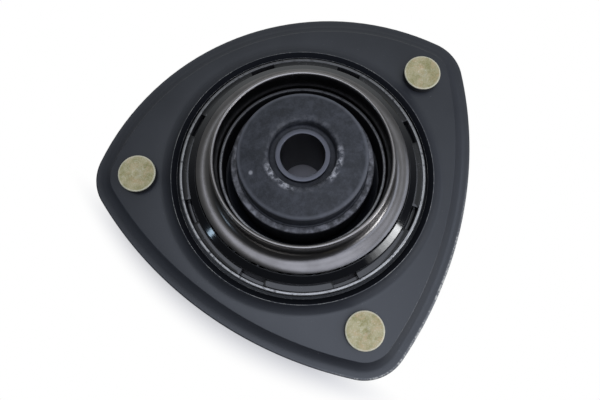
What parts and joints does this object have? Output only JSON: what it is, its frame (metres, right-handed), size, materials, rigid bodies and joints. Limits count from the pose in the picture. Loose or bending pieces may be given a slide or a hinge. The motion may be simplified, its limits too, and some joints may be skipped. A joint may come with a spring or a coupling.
{
  "type": "strut mount",
  "caption": "Three-cornered suspension strut mount: pressed steel plate with studs, bonded rubber bush with sleeve, and a built-in thrust bearing for the spring seat.",
  "frame": {"origin": "on the bore axis, in the plane that seats against the strut tower", "axes": "+Z along the bore axis towards the strut, the side the picture shows; -Y towards the front stud; +X to the right"},
  "size_m": [0.1582, 0.1505, 0.0516],
  "materials": {
    "black_paint": "semi-gloss black paint",
    "yellow_zinc": "pale yellow zinc plating",
    "worn_shell": "worn dark coating",
    "bush_rubber": "matt moulded rubber",
    "sleeve_steel": "satin",
    "case_steel": "black with worn bright edges",
    "race_steel": "satin, blackened",
    "cage_plastic": "moulded",
    "gloss_ring": "glossy black",
    "ball_steel": "polished"
  },
  "bodies": {
    "mount": {"mounting_plate": "black_paint", "stud_front": "yellow_zinc", "stud_right": "yellow_zinc", "stud_left": "yellow_zinc", "bush_housing": "black_paint", "bush_shell": "worn_shell", "bush_rubber": "bush_rubber", "inner_sleeve": "sleeve_steel", "bearing_case": "case_steel", "upper_race": "race_steel", "retainer_ring": "gloss_ring"},
    "race": {"lower_race": "race_steel"},
    "cage": {"ball_cage": "cage_plastic", "ball_01": "ball_steel", "ball_02": "ball_steel", "ball_03": "ball_steel", "ball_04": "ball_steel", "ball_05": "ball_steel", "ball_06": "ball_steel", "ball_07": "ball_steel", "ball_08": "ball_steel", "ball_09": "ball_steel", "ball_10": "ball_steel", "ball_11": "ball_steel", "ball_12": "ball_steel", "ball_13": "ball_steel", "ball_14": "ball_steel", "ball_15": "ball_steel", "ball_16": "ball_steel", "ball_17": "ball_steel", "ball_18": "ball_steel", "ball_19": "ball_steel", "ball_20": "ball_steel", "ball_21": "ball_steel", "ball_22": "ball_steel", "ball_23": "ball_steel", "ball_24": "ball_steel"}
  },
  "joints": [
    {"name": "race_spin", "type": "hinge", "parent": "mount", "child": "race", "pos_m": [0, 0, 0.015], "axis": [0, 0, 1], "continuous": true},
    {"name": "cage_spin", "type": "hinge", "parent": "mount", "child": "cage", "pos_m": [0, 0, 0.01], "axis": [0, 0, 1], "continuous": true}
  ],
  "couplings": [
    {"joint": "cage_spin", "follows": "race_spin", "ratio": 0.5}
  ]
}
